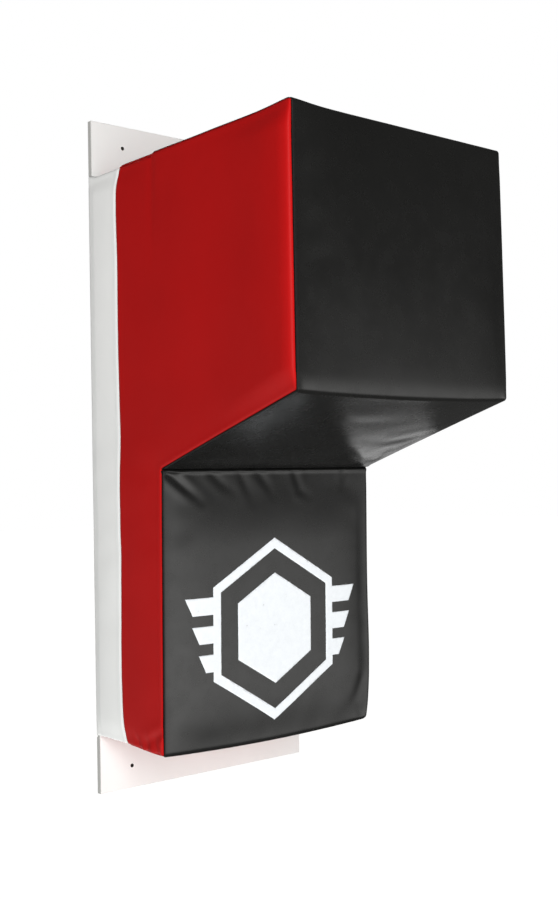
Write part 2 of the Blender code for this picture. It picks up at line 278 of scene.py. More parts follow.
def path_length(path):
    return np.concatenate([[0], np.cumsum(np.linalg.norm(np.diff(path, axis=0), axis=1))])


def end_to_end(parts):
    """The rows of the full-width panels in one run: each begins on the last row of the one before."""
    return np.concatenate([parts[0]] + [part[1:] for part in parts[1:]])


def grid_faces(there):
    """Quads of a grid as index rows, where all four corners are there."""
    index = np.arange(there.size).reshape(there.shape)
    quads = np.stack([index[:-1, :-1], index[1:, :-1], index[1:, 1:], index[:-1, 1:]], axis=-1).reshape(-1, 4)
    return quads[there.reshape(-1)[quads].all(axis=1)]


def facing(points, quads, normal):
    """The quads, turned over if they look inwards."""
    p = points.reshape(-1, 3)
    cross = np.cross(p[quads[:, 2]] - p[quads[:, 0]], p[quads[:, 3]] - p[quads[:, 1]])
    inwards = (cross * normal.reshape(-1, 3)[quads[:, 0]]).sum() < 0
    return quads[:, ::-1] if inwards else quads


def resampler(old, new):
    """The weights that carry values at the old places to the new ones along a smooth curve."""
    spot = np.interp(new, old, np.arange(len(old)))
    base = np.clip(np.floor(spot).astype(int), 0, len(old) - 2)
    t = spot - base
    parts = (-0.5 * t + t ** 2 - 0.5 * t ** 3, 1 - 2.5 * t ** 2 + 1.5 * t ** 3,
             0.5 * t + 2 * t ** 2 - 1.5 * t ** 3, -0.5 * t ** 2 + 0.5 * t ** 3)
    weights = np.zeros((len(new), len(old)))
    for k, part in enumerate(parts):
        np.add.at(weights, (np.arange(len(new)), np.clip(base + k - 1, 0, len(old) - 1)), part)
    return weights


def resample(field, old_a, old_b, new_a, new_b):
    return np.einsum("ai,ijk,bj->abk", resampler(old_a, new_a), field, resampler(old_b, new_b))


def calmed(field, times=3):
    """The field with its finest ripples evened out, its border kept."""
    out = field.copy()
    for _ in range(times):
        inner = out[1:-1, 1:-1]
        around = out[:-2, 1:-1] + out[2:, 1:-1] + out[1:-1, :-2] + out[1:-1, 2:]
        out[1:-1, 1:-1] = 0.5 * inner + 0.125 * around
    return out


def joined(moves):
    """The full-width panels' moves as one field down the whole cover."""
    moves["round"] = end_to_end([moves[n] for n in ROUND])
    return moves


UNEVEN = 0.0003
HAIR = 1e-6
# The (y, z) lines on which the full-width panels are sewn to each other.
CROSS_SEAMS = ((STEP_Y, INNER_Z), (FRONT_Y, TOP), (STEP_Y, BOTTOM))
CLOTH_FRAMES = 20
CLOTH = {"quality": 6, "mass": 0.25, "tension_stiffness": 30, "compression_stiffness": 30,
         "shear_stiffness": 12, "bending_stiffness": 3.0, "shrink_min": -0.003, "use_pressure": True,
         "uniform_pressure_force": 4.0}


def closed_grids(layout):
    """The cover, closed at its back, as named grids of flat-shape points, with what is there in each."""
    y_all = np.concatenate([layout.y_front, layout.y_mid[1:], layout.y_band[1:]])
    grids = {}
    for name in ROUND:
        points = layout.front(name)
        grids[name] = points, np.ones(points.shape[:2], bool)
    for sign, name in ((-1, "left"), (1, "right")):
        grids[name] = layout.side(sign, y_all)
    rows_z = grids["right"][0][-1, :, 2]
    back = np.zeros((len(layout.x), len(rows_z), 3))
    back[:, :, 0] = layout.x[:, None]
    back[:, :, 1] = BACK_Y
    back[:, :, 2] = rows_z[None, :]
    grids["back"] = back, np.ones(back.shape[:2], bool)
    return grids, y_all


def sewn_shell(grids):
    """The grids welded into one shell: its places, its faces, its sewn places, each grid's numbers in it."""
    places, index_of, faces, sewn, numbers = [], {}, [], [], {}
    for name, (points, there) in grids.items():
        placed, normal, edge, _ = skin(points)
        if name == "back":
            placed, normal = points.copy(), np.zeros_like(points) + [0, 1, 0]
        flat = points.reshape(-1, 3)
        target = placed.reshape(-1, 3)
        uneven = lump(target, 0.045, 5)[:, None] * normal.reshape(-1, 3) * UNEVEN
        number = np.zeros(len(flat), int)
        for i, key in enumerate(map(tuple, np.round(flat * 1e5).astype(int))):
            if key not in index_of:
                index_of[key] = len(places)
                places.append(target[i] + uneven[i])
                x, y, z = flat[i]
                outline = abs(abs(x) - HALF_WIDTH) < HAIR and edge.reshape(-1)[i] < HAIR
                across = any(abs(y - at[0]) < HAIR and abs(z - at[1]) < HAIR for at in CROSS_SEAMS)
                if outline or across or y > BACK_Y - HAIR:
                    sewn.append(index_of[key])
            number[i] = index_of[key]
        faces.append(number[facing(placed, grid_faces(there), normal)])
        numbers[name] = number
    return np.array(places), np.concatenate(faces), sewn, numbers


def pressed(places, faces, sewn):
    """How far each place of the shell moves in a short cloth simulation with pressure inside."""
    mesh = bpy.data.meshes.new("swell")
    mesh.from_pydata(places.tolist(), [], faces.tolist())
    bag = bpy.data.objects.new("swell", mesh)
    scene = bpy.context.scene
    scene.collection.objects.link(bag)
    bag.vertex_groups.new(name="sewn").add(sewn, 1.0, "REPLACE")
    cloth = bag.modifiers.new("Cloth", "CLOTH")
    for key, value in CLOTH.items():
        setattr(cloth.settings, key, value)
    cloth.settings.vertex_group_mass = "sewn"
    cloth.settings.effector_weights.gravity = 0
    cloth.collision_settings.use_collision = False
    scene.frame_start, scene.frame_end = 1, CLOTH_FRAMES
    cloth.point_cache.frame_start, cloth.point_cache.frame_end = 1, CLOTH_FRAMES
    for moment in range(1, CLOTH_FRAMES + 1):
        scene.frame_set(moment)
    seen = bag.evaluated_get(bpy.context.evaluated_depsgraph_get())
    swollen = np.zeros(len(places) * 3)
    seen.data.vertices.foreach_get("co", swollen)
    scene.frame_set(1)
    bpy.data.objects.remove(bag, do_unlink=True)
    return swollen.reshape(-1, 3) - places


def swell(layout):
    """How far each point of a layout's grids moves in the swollen cover, and the sides' columns."""
    grids, y_all = closed_grids(layout)
    places, faces, sewn, numbers = sewn_shell(grids)
    move = pressed(places, faces, sewn)
    size = np.linalg.norm(move, axis=1)
    print("swell", round(size.max() * 1000, 1), "mm at most, middle", round(float(np.median(size)) * 1000, 1))
    move *= (SWELL_CAP * np.tanh(size / SWELL_CAP) / np.maximum(size, 1e-9))[:, None]
    moves = {}
    for name, (points, there) in grids.items():
        field = move[numbers[name]].reshape(points.shape)
        if name in ("left", "right"):
            first = len(layout.z_low) - 1
            gone = ~there[:, 0]
            field[gone, :first] = field[gone, first:first + 1]
        moves[name] = calmed(field, 7)
    return joined(moves), y_all


def pucker(s, t, seed, height, reach, pitch=0.0145):
    """Small gathers that run away from a seam: s is the distance from it and t the place along it."""
    phase = t / pitch + 0.38 * wave(t, 0.055, seed)
    strength = 0.25 + 0.75 * smooth(0.5 + 0.5 * wave(t, 0.09, seed + 1))
    fold = (0.5 + 0.5 * np.cos(2 * math.pi * phase)) ** 1.6 - 0.42
    depth = reach * (0.55 + 0.6 * smooth(0.5 + 0.5 * wave(t, 0.03, seed + 2)))
    return height * strength * fold * smooth(s / 0.0025) * np.exp(-s / depth)


def valley(s, depth, width, roll=0.0006):
    return -depth * np.exp(-(s / width) ** 2) + roll * np.exp(-((s - width * 3.2) / (width * 2.0)) ** 2)


def stroke(a, b, points, width, depth):
    """A crease along points in a panel's own plane, fading at its far end, with raised lips beside it."""
    points = np.array(points)
    lengths = path_length(points)
    best = np.full(a.shape, 9.0)
    signed = np.zeros(a.shape)
    along = np.zeros(a.shape)
    for k in range(len(points) - 1):
        way = points[k + 1] - points[k]
        length = np.linalg.norm(way)
        way = way / length
        t = np.clip((a - points[k][0]) * way[0] + (b - points[k][1]) * way[1], 0, length)
        da, db = a - points[k][0] - t * way[0], b - points[k][1] - t * way[1]
        gap = np.hypot(da, db)
        closer = gap < best
        best = np.where(closer, gap, best)
        signed = np.where(closer, da * way[1] - db * way[0], signed)
        along = np.where(closer, (lengths[k] + t) / lengths[-1], along)
    fade = 1 - smooth((along - 0.25) / 0.75) * 0.85
    offset = np.where(best < 1e-9, 0, np.sign(signed) * best)
    lips = np.exp(-((np.abs(offset) - width * 2.1) / (width * 1.3)) ** 2)
    line = -np.exp(-(offset / width) ** 2) + 0.55 * lips
    return depth * fade * line * np.exp(-(np.maximum(best - width * 5, 0) / width) ** 2)


# How far wear and weight move the skin, in metres, and over which lengths
LEAN, LEAN_HEIGHT = 0.0021, 0.023
TILT = 0.0042
NARROWING = 0.0040
NOSE_SAG = 0.0046
FOOT_DROP = 0.0030
BELLY, BELLY_HEIGHT = 0.0028, 0.090
CORNER_TUCK = 0.0055
CORNER_LIFT = 0.0030
CREST, CREST_WIDTH = 0.0064, 0.019


def settled(flat, shaped):
    """The shape's larger leanings, from wear and its own weight: shifts by flat-shape place alone."""
    x, y, z = flat[..., 0], flat[..., 1], flat[..., 2]
    out = shaped.copy()
    inset = HALF_WIDTH - np.abs(x)
    from_front = y - FRONT_Y
    to_right = np.clip(x / HALF_WIDTH, 0, 1)
    bow = np.clip(np.cos(x / HALF_WIDTH * math.pi / 2), 0, 1)

    # The band above the front fold leans back.
    lean = np.clip((FACE_BOTTOM_Z + LEAN_HEIGHT - z) / LEAN_HEIGHT, 0, 1) ** 2.8
    out[..., 1] += LEAN * lean * np.exp(-np.maximum(from_front, 0) / 0.035) * smooth(inset / 0.012)

    # The lower face tilts: forwards at the inner corner, back at its foot.
    rise = (z - BOTTOM) / (INNER_Z - BOTTOM)
    tilt = np.where(z < INNER_Z, -0.45 + 1.45 * rise, 1 - smooth((z - INNER_Z) / 0.09))
    depth = smooth((BACK_Y - y) / (BACK_Y - STEP_Y)) * np.exp(-np.maximum(STEP_Y - y, 0) / 0.10)
    out[..., 1] -= TILT * tilt * depth

    # The upper half narrows upwards at its front right.
    narrow = np.clip((z - FACE_BOTTOM_Z) / (TOP - FACE_BOTTOM_Z), 0, 1) ** 1.5
    out[..., 0] -= NARROWING * narrow * to_right * smooth((STEP_Y - 0.06 - y) / 0.18)

    # The lower hem and the front fold sag between their corners, and the foot drops with the hem.
    hem = np.exp(-(z - BOTTOM) / 0.045) * smooth((-y - 0.02) / 0.12)
    nose = np.exp(-np.maximum(z - FACE_BOTTOM_Z, 0) / 0.030) * np.exp(-np.maximum(from_front, 0) / 0.070)
    foot = np.exp(-(z - BOTTOM) / 0.050) * smooth((-y - 0.075) / 0.07)
    out[..., 2] -= (BOTTOM_SAG * bow ** 0.8 * hem + NOSE_SAG * bow ** 0.55 * nose * (z > INNER_Z + 0.001)
                    + FOOT_DROP * foot)

    # The lower half bellies out on the right, over a tucked lower corner.
    belly = np.exp(-((z - BOTTOM - BELLY_HEIGHT) / 0.07) ** 2)
    corner = np.exp(-(z - BOTTOM) / 0.020)
    out[..., 0] += to_right ** 3 * (BELLY * belly - CORNER_TUCK * corner) * (z < INNER_Z)

    # The upper front corner nearest the camera stands up a little.
    reach = ((x + HALF_WIDTH) / 0.035) ** 2 + (from_front / 0.040) ** 2 + (np.maximum(TOP - z, 0) / 0.03) ** 2
    out[..., 2] += CORNER_LIFT * np.exp(-reach)

    # The sides stand out in a crest behind the front edge.
    within = smooth((TOP - z) / 0.030) * smooth((z - slope_z(y)) / 0.030)
    crest = 1 - np.clip(1 - from_front / CREST_WIDTH, 0, 1) ** 2.2
    crest = crest * np.exp(-(np.maximum(from_front - CREST_WIDTH, 0) / 0.075) ** 2)
    out[..., 0] += np.sign(x) * CREST * crest * within * (inset < 1e-6)
    return out


def band_line(z, sign):
    """How far the red and white seam strays from straight, forwards at its top and bottom."""
    ends = np.clip((z - TOP + 0.036) / 0.036, 0, 1) ** 1.4 + 0.4 * smooth((BOTTOM + 0.010 - z) / 0.010)
    lift = smooth((z - 0.24) / 0.08)
    return 0.0010 * wave(z, 0.26, 31 + int(sign)) - 0.0056 * ends + 0.0022 * lift


def warp_to_band(points, sign):
    """Bends the grid on a side so that its band line follows the strayed seam."""
    y, z = points[..., 1], points[..., 2]
    hold = np.exp(-((y - BAND_Y) / 0.016) ** 2) * smooth((BACK_Y - y) / 0.02)
    bent = points.copy()
    bent[..., 1] = y + band_line(z, sign) * hold
    return bent


def stand(name, mesh, look, stands_for=(), thickness=None):
    """Puts a mesh on the frame as a visible piece with its finish, and hides the CAD nodes it stands for."""
    mesh.polygons.foreach_set("use_smooth", np.ones(len(mesh.polygons), bool))
    mesh.materials.append(look)
    piece = bpy.data.objects.new(name, mesh)
    bpy.context.scene.collection.objects.link(piece)
    if thickness:
        solid = piece.modifiers.new("thickness", "SOLIDIFY")
        solid.thickness = thickness
        solid.offset = -1
        solid.use_even_offset = False
    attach(piece, "root")
    if stands_for:
        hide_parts(*stands_for)
    return piece


def sheet(name, points, quads, node, look, shade, wear_and_painted_highlight=None, thickness=VINYL):
    """A sheet from grid points, thickened inwards; seam dirt with painted shade, and a painted edge highlight,
    colour it along its seams.
    """
    used = np.unique(quads)
    renumber = np.zeros(points.size // 3, int)
    renumber[used] = np.arange(len(used))
    mesh = bpy.data.meshes.new(name)
    mesh.from_pydata(points.reshape(-1, 3)[used].tolist(), [], renumber[quads].tolist())
    mesh.validate()
    # The seam field holds seam dirt with painted shade; the stretched field holds a painted highlight.
    for field, values in (("seam", shade), ("stretched", np.zeros(shade.shape) if wear_and_painted_highlight is None else wear_and_painted_highlight)):
        attribute = mesh.attributes.new(field, "FLOAT", "POINT")
        attribute.data.foreach_set("value", values.reshape(-1)[used].astype(np.float32))
    return stand(name, mesh, look, [node], thickness)


# Materials

def feed(tree, socket, value):
    """Links a socket to another node's output, or sets it to a constant."""
    if isinstance(value, bpy.types.NodeSocket):
        tree.links.new(value, socket)
    else:
        socket.default_value = value


def grower(tree):
    """The function that adds a node to the tree: it takes the inputs and settings and returns the outputs."""
    def node(kind, inputs=None, **settings):
        item = tree.nodes.new("ShaderNode" + kind)
        for key, value in settings.items():
            setattr(item, key, value)
        for key, value in (inputs or {}).items():
            feed(tree, item.inputs[key], value)
        return item.outputs
    return node


def new_material(name):
    """A new material, its node function and its object coordinates."""
    made = bpy.data.materials.new(name)
    made.use_nodes = True
    node = grower(made.node_tree)
    return made, node, node("TexCoord")["Object"]


def finished(made, inputs):
    """The material with its shader's inputs set."""
    shader = made.node_tree.nodes["Principled BSDF"]
    for key, value in inputs.items():
        feed(made.node_tree, shader.inputs[key], value)
    return made


def ramp(tree, source, stops):
    """A colour ramp over the source: its stops are (place, colour)."""
    item = tree.nodes.new("ShaderNodeValToRGB")
    elements = item.color_ramp.elements
    elements[0].position, elements[0].color = stops[0]
    elements[1].position, elements[1].color = stops[-1]
    for place, colour in stops[1:-1]:
        elements.new(place).color = colour
    tree.links.new(source, item.inputs["Fac"])
    return item.outputs["Color"]


def ranged(node, source, low, high, first=0.0, last=1.0):
    """The source's span from first to last, carried to low to high and held beyond its ends."""
    return node("MapRange", {"From Min": first, "From Max": last, "To Min": low, "To Max": high,
                             "Value": source})["Result"]


def noise(node, where, scale, detail, roughness=0.5, **more):
    return node("TexNoise", {"Vector": where, "Scale": scale, "Detail": detail, "Roughness": roughness,
                             **more})["Fac"]


def stretched(node, where, z_scale):
    return node("Mapping", {"Vector": where, "Scale": (1.0, 1.0, z_scale)})["Vector"]


def blend(node, share, one, two):
    return node("Mix", {0: share, 6: one, 7: two}, data_type="RGBA")[2]


def bump(node, height, strength, distance, below=None):
    inputs = {"Height": height, "Strength": strength, "Distance": distance}
    if below is not None:
        inputs["Normal"] = below
    return node("Bump", inputs)["Normal"]


def rgba(colour, k=1.0):
    return (*(min(1.0, c * k) for c in colour), 1.0)


GRAIN_SCALE = 760.0
SEAM_MATTING = 0.45
SEAM_SHINE = 0.25
# A painted highlight: how much lighter the red is made along its rolled front edges.
PAINTED_HIGHLIGHT_TONE = 1.28


def vinyl(name, colour, roughness, specular, seam_dirt_and_shade, patch):
    """Coated fabric: pebbled grain, uneven gloss, faint scuffs, seam valleys duller and darker with dirt and
    painted shade, and a painted highlight along the red's front edges.
    """
    made, node, where = new_material(name)
    tone = ramp(made.node_tree, noise(node, where, 7.0, 4.0, 0.6),
                [(0.30, rgba(colour, 1 - patch)), (0.70, rgba(colour, 1 + patch))])
    # The seam attribute darkens the colour along each seam: dirt, and painted shade in its valley.
    seam = node("Attribute", attribute_name="seam")["Fac"]
    # The stretched attribute carries a painted highlight along the front edges.
    painted_highlight = node("Attribute", attribute_name="stretched")["Fac"]
    tone = blend(node, painted_highlight, blend(node, seam, tone, rgba(colour, seam_dirt_and_shade)), rgba(colour, PAINTED_HIGHLIGHT_TONE))
    cells = node("TexVoronoi", {"Vector": stretched(node, where, 0.8), "Scale": GRAIN_SCALE,
                                "Smoothness": 0.35}, feature="SMOOTH_F1")["Distance"]
    gloss = ranged(node, noise(node, where, 42.0, 5.0, 0.62), roughness - 0.03, roughness + 0.04, 0.30, 0.72)
    pebbles = bump(node, cells, 0.22, 0.00010)
    pits = bump(node, noise(node, where, 2400.0, 3.0, 0.6), 0.08, 0.00005, pebbles)
    return finished(made, {
        "Base Color": tone,
        "Roughness": node("Math", {0: gloss, 1: ranged(node, seam, 0.0, SEAM_MATTING)}, operation="ADD")[0],
        "Specular IOR Level": ranged(node, seam, specular, SEAM_SHINE * specular),
        "Normal": bump(node, noise(node, where, 26.0, 1.0, 0.45), 0.13, 0.0005, pits)})


SCREW_HOLE = (0.125, 0, 0.420)
BORE_RADIUS = 0.0025


def laminate(name):
    """White melamine board: satin face with a fine orange-peel, scuffs, greyer left and right edges, and
    painted shade in its screw holes.
    """
    made, node, where = new_material(name)
    apart = node("SeparateXYZ", {0: where})
    mirrored = {axis: node("Math", {0: apart[axis]}, operation="ABSOLUTE")[0] for axis in ("X", "Z")}
    # The left and right edges are made greyer.
    greyer_side_edges = ranged(node, mirrored["X"], 0.0, 1.0, board_high[0] - 0.0009, board_high[0] - 0.0003)
    face = ramp(made.node_tree, noise(node, where, 5.0, 6.0, 0.6),
                [(0.32, (0.80, 0.80, 0.785, 1)), (0.70, (0.85, 0.85, 0.84, 1))])
    face = blend(node, greyer_side_edges, face, (0.46, 0.455, 0.44, 1))
    mirrored = node("CombineXYZ", mirrored)[0]
    # Painted shade: the screw holes and their bores are coloured near-black, where shade falls in them.
    hole = node("VectorMath", {0: mirrored, 1: SCREW_HOLE}, operation="DISTANCE")["Value"]
    painted_hole_shade = ranged(node, hole, 0.0, 1.0, BORE_RADIUS + 0.00012, BORE_RADIUS + 0.00002)
    scratches = noise(node, stretched(node, where, 0.04), 300.0, 2.0, 0.5)
    return finished(made, {
        "Base Color": blend(node, painted_hole_shade, face, (0.035, 0.028, 0.022, 1)),
        "Roughness": ranged(node, scratches, 0.30, 0.44, 0.35, 0.75),
        "Normal": bump(node, noise(node, where, 900.0, 2.0, 0.5), 0.18, 0.00006)})


def plain(made, node, tones, pattern, gloss, height, relief, **more):
    """A finish whose colour and roughness follow one pattern and whose bump follows a height."""
    return finished(made, {"Base Color": ramp(made.node_tree, pattern, tones),
                           "Roughness": ranged(node, *gloss), "Normal": bump(node, height, *relief), **more})


def ink(name):
    """Thick white screen print: matt, slightly uneven, with hairline wear."""
    made, node, where = new_material(name)
    wear_and_painted_highlight = noise(node, where, 130.0, 8.0, 0.72)
    weave = node("TexVoronoi", {"Vector": where, "Scale": GRAIN_SCALE}, feature="SMOOTH_F1")["Distance"]
    tones = [(0.27, (0.30, 0.31, 0.32, 1)), (0.335, (0.76, 0.79, 0.82, 1)), (0.70, (0.83, 0.86, 0.89, 1))]
    return plain(made, node, tones, wear_and_painted_highlight, (wear_and_painted_highlight, 0.42, 0.58), weave, (0.25, 0.00006),
                 **{"Specular IOR Level": 0.35})


def foam(name, light, dark, scale):
    """Cut foam: open cells seen as pits, painted darker as their shade, softly mottled."""
    made, node, where = new_material(name)
    cells = node("TexVoronoi", {"Vector": where, "Scale": scale})["Distance"]
    return plain(made, node, [(0.05, rgba(dark)), (0.55, rgba(light))], cells,
                 (noise(node, where, 30.0, 4.0), 0.85, 0.98), cells, (0.8, 0.0005))


def wire(name):
    """Galvanised staple wire: drawn lines along it and dulled zinc."""
    made, node, where = new_material(name)
    drawn = noise(node, stretched(node, where, 0.1), 900.0, 5.0, 0.7)
    return plain(made, node, [(0.35, (0.42, 0.42, 0.43, 1)), (0.70, (0.68, 0.68, 0.69, 1))], drawn,
                 (drawn, 0.22, 0.50), drawn, (0.3, 0.00003), Metallic=1.0)


def fibre(name):
    """Pressed fibre strip: short tangled fibres, matt."""
    made, node, where = new_material(name)
    felt = noise(node, where, 420.0, 8.0, 0.75, Distortion=1.5)
    return plain(made, node, [(0.30, (0.30, 0.20, 0.11, 1)), (0.72, (0.55, 0.42, 0.27, 1))], felt,
                 (felt, 0.75, 0.92), felt, (0.5, 0.0002))


def thread(name, colour):
    """Bonded sewing thread: twisted plies, painted darker in the grooves between them as shade and lighter on
    their crests as highlight.
    """
    made, node, where = new_material(name)
    plies = node("TexWave", {"Vector": where, "Scale": 520.0, "Distortion": 1.5},
                 bands_direction="DIAGONAL")["Fac"]
    return plain(made, node, [(0.2, rgba(colour, 0.6)), (0.8, rgba(colour, 1.2))], plies,
                 (plies, 0.45, 0.65), plies, (0.5, 0.0001))


RED = vinyl("red_vinyl", (0.375, 0.0042, 0.0042), 0.42, 0.17, seam_dirt_and_shade=0.80, patch=0.05)
BLACK = vinyl("black_vinyl", (0.0080, 0.0080, 0.0076), 0.26, 0.38, seam_dirt_and_shade=0.5, patch=0.15)
WHITE = vinyl("white_vinyl", (0.82, 0.82, 0.81), 0.45, 0.35, seam_dirt_and_shade=0.85, patch=0.02)
LAMINATE = laminate("white_laminate")
INK = ink("white_print")
SOFT = foam("soft_foam", (0.13, 0.14, 0.16), (0.035, 0.04, 0.045), 520.0)
FIRM = foam("firm_foam", (0.06, 0.06, 0.065), (0.02, 0.02, 0.022), 1100.0)
WIRE = wire("staple_steel")
FIBRE = fibre("fibre_strip")
RED_THREAD = thread("red_thread", (0.30, 0.010, 0.010))
BLACK_THREAD = thread("black_thread", (0.010, 0.010, 0.010))
WHITE_THREAD = thread("white_thread", (0.65, 0.64, 0.60))


# The cover

coarse = Layout(0.0078, False)
moves, coarse_y = swell(coarse)
coarse_run = end_to_end([coarse.run(name) for name in ROUND])
fine = Layout(0.0034, True)

# Where the foam slab ends and the deep block begins, as it shows through the vinyl.
FOAM_JOINT_Y = -0.1515
JOINT_STEP_Y = -0.154
# How many columns at each edge of the top the white bands cover, and how many they reach over it.
COVERED_COLUMNS = 4
LIP_COLUMNS = 8
# How far the top and bottom panels lie inside their seams, and further where the foams meet, behind
# that, and under the white bands.
PANEL_DROP = {"top": 0.0012, "bottom": 0.0008}
BAND_DROP = {"top": 0.0016, "bottom": 0.0026}
JOINT_GROOVE = 0.0014
REAR_DROP = 0.0022
# The foams' joint on the sides: its line near the top, the wide dip along it, the step down behind it.
JOINT_LINE = 0.0014
JOINT_DIP = 0.0009
JOINT_STEP = 0.0028
# The share of its swelling that the cover keeps: less at the nose, the inner corner, the top's front,
# the bottom, and on the sides' upper half.
NOSE_HOLD, NOSE_REACH = 0.82, 0.120
INNER_SHARE = 0.30
EDGE_SHARE = 0.25
BOTTOM_SHARE = 0.55
SIDE_HOLD = 0.60
# Gentle lumps, and the width of the darker line along each seam, which is dirt and painted shade.
FRONT_LUMPS = 0.00022
SIDE_LUMPS = 0.0003
SEAM_SHADE = 0.0022

# Creases: their points, width and depth. Those below the inner corner are in (x, z).
CREASES = (
    (((-0.1675, -0.0265), (-0.142, -0.0456), (-0.1174, -0.0638)), 0.0050, 0.0010),
    (((-0.1009, -0.0265), (-0.083, -0.042), (-0.0641, -0.0535)), 0.0055, 0.0004),
    (((-0.0545, -0.0260), (-0.0345, -0.0673)), 0.0055, 0.0004),
    (((-0.0230, -0.0260), (-0.0001, -0.0575)), 0.0055, 0.00045),
    (((0.0395, -0.0260), (0.0476, -0.0520), (0.0640, -0.0600)), 0.0050, 0.00055),
    (((0.1310, -0.0260), (0.1250, -0.0480)), 0.0046, 0.0004),
    (((0.1600, -0.3200), (0.1500, -0.3400), (0.1300, -0.3540)), 0.0070, 0.0004),
    (((0.1640, -0.3640), (0.1450, -0.3500)), 0.0055, 0.0004),
)
# On the underside, in x and the length along the cover.
UNDER_CREASES = (
    (((-0.060, 0.800), (0.000, 0.812), (0.060, 0.806)), 0.011, 0.0003),
    (((0.170, 0.985), (0.120, 0.955), (0.060, 0.910)), 0.009, 0.0009),
    (((0.172, 0.955), (0.135, 0.905)), 0.008, 0.0007),
    (((0.165, 0.850), (0.105, 0.880), (0.050, 0.872)), 0.012, 0.0007),
    (((-0.165, 0.985), (-0.110, 0.950)), 0.007, 0.0005),
)
# On the sides, above the lower hem, in (y, z).
HEM_CREASES = (
    (((-0.146, -0.372), (-0.139, -0.350)), 0.0044, 0.0017),
    (((-0.126, -0.372), (-0.122, -0.356)), 0.0038, 0.0013),
    (((-0.108, -0.372), (-0.098, -0.356)), 0.0042, 0.0016),
    (((-0.154, -0.348), (-0.128, -0.361), (-0.104, -0.363)), 0.0046, 0.0013),
)
# The seams between full-width panels: the valley's seed, depth and width, its puckers' height and
# reach, and its shoulders' height.
CROSS_VALLEYS = {
    "front": (61, 0.0010, 0.0016, 0.00004, 0.006, 0.0),
    "inner": (71, 0.0016, 0.0017, 0.00010, 0.012, 0.0007),
    "foot": (81, 0.0010, 0.0016, 0.00015, 0.008, 0.0),
}
# The seams at the first and last row of each full-width panel.
PANEL_SEAMS = {"top": (None, "front"), "upper": ("front", "inner"), "lower": ("inner", "foot"),
               "bottom": ("foot", None)}


def creased(a, b, creases):
    return sum(stroke(a, b, points, width, depth) for points, width, depth in creases)


def outline_seam(s, t, sign, is_side):
    """The seam between a side and the panels that go round it: s from the seam, t along the profile.

    The side carries most of the valley and the puckers; the stiffer black panels stay smooth.
    """
    seed = 40 + int(sign)
    slanted = smooth((t - RUN_START[2] + 0.01) / 0.03) * smooth((RUN_START[3] - t + 0.01) / 0.03)
    hem = smooth((t - RUN_START[4] - 0.005) / 0.02)
    upright = smooth((t - RUN_START[1] - 0.02) / 0.02) * smooth((RUN_START[2] - 0.01 - t) / 0.02)
    upright = upright + smooth((t - RUN_START[3] - 0.01) / 0.02) * smooth((RUN_START[4] - 0.01 - t) / 0.02)
    depth = (0.0009 + 0.0002 * wave(t, 0.12, seed + 5)) * (1 - 0.75 * upright)
    if is_side:
        height = 0.00016 + 0.00036 * slanted + 0.00065 * hem
        return valley(s, depth, 0.0015, 0.0004) + pucker(s, t, seed, height, 0.008 + 0.009 * slanted, 0.0135)
    height = 0.00002 + 0.00004 * slanted + 0.00008 * hem
    return valley(s, depth, 0.0011, 0.00005) + pucker(s, t, seed, height, 0.008, 0.0135)


final = {}


def front_panel(name, node, look):
    """A full-width panel: its swelling, its seams and what is particular to it."""
    points = fine.front(name)
    placed, normal, _, _ = skin(points)
    run = fine.run(name)
    move = resample(moves["round"], coarse_run, coarse.x, run, fine.x)
    x, y, z = points[..., 0], points[..., 1], points[..., 2]
    t = np.broadcast_to(run[:, None], x.shape)
    profile_run = t + BEHIND_WALL - BACK_Y
    inset = HALF_WIDTH - np.abs(x)
    height = np.zeros_like(x)
    for sign in (-1, 1):
        height = np.where(x * sign > 0, outline_seam(inset, profile_run, sign, False), height)
    near = inset.copy()
    for place, seam in zip((run[0], run[-1]), PANEL_SEAMS[name]):
        if seam:
            seed, depth, width, ruck, reach, roll = CROSS_VALLEYS[seam]
            if seam == "inner" and name == "lower":
                width, roll = 0.0010, 0.0009
            gap = np.abs(t - place)
            height = height + valley(gap, depth, width, roll) + pucker(gap, x, seed, ruck, reach, 0.019)
            near = np.minimum(near, gap)
    free = smooth((inset + 0.004) / 0.030)
    before_wall = smooth((BACK_Y - y) / 0.01)
    over_band = smooth((y - BAND_Y + 0.008) / 0.008)
    if name == "upper":
        nose_run = RUN_START[2] - BEHIND_WALL + BACK_Y
        share = free * (1 - NOSE_HOLD * np.exp(-((t - nose_run) / NOSE_REACH) ** 2))
        height = height + creased(x, t, UNDER_CREASES) * smooth((inset - 0.004) / 0.020)
    if name == "lower":
        share = free * (INNER_SHARE + (1 - INNER_SHARE) * smooth((INNER_Z - z) / 0.10))
        height = height + creased(x, z, CREASES) * smooth((INNER_Z - z) / 0.004)
    if name == "top":
        share = EDGE_SHARE + (1 - EDGE_SHARE) * smooth((y - FRONT_Y) / 0.12)
        height = height - JOINT_GROOVE * np.exp(-((y + 0.151) / 0.0035) ** 2)
        height = height - REAR_DROP * smooth((y - JOINT_STEP_Y) / 0.010) * before_wall
        height = height - BAND_DROP[name] * over_band * before_wall
    if name == "bottom":
        share = EDGE_SHARE + BOTTOM_SHARE * smooth((y - STEP_Y) / 0.08)
        height = height - BAND_DROP[name] * over_band * smooth(inset / 0.003)
    if name in PANEL_DROP:
        height = height - PANEL_DROP[name] * smooth(inset / 0.004)
    height = height + FRONT_LUMPS * lump(points, 0.090, 3) * smooth(near / 0.03)
    shaped = settled(points, placed + move * share[..., None] + normal * height[..., None])
    final[name] = shaped
    there = np.ones(x.shape, bool)
    if name == "top":
        there[:len(fine.y_band) - 1, :COVERED_COLUMNS] = False
        there[:len(fine.y_band) - 1, -COVERED_COLUMNS:] = False
    quads = facing(shaped, grid_faces(there), normal)
    return sheet(node + "_cover", shaped, quads, node, look, np.exp(-(near / SEAM_SHADE) ** 2))


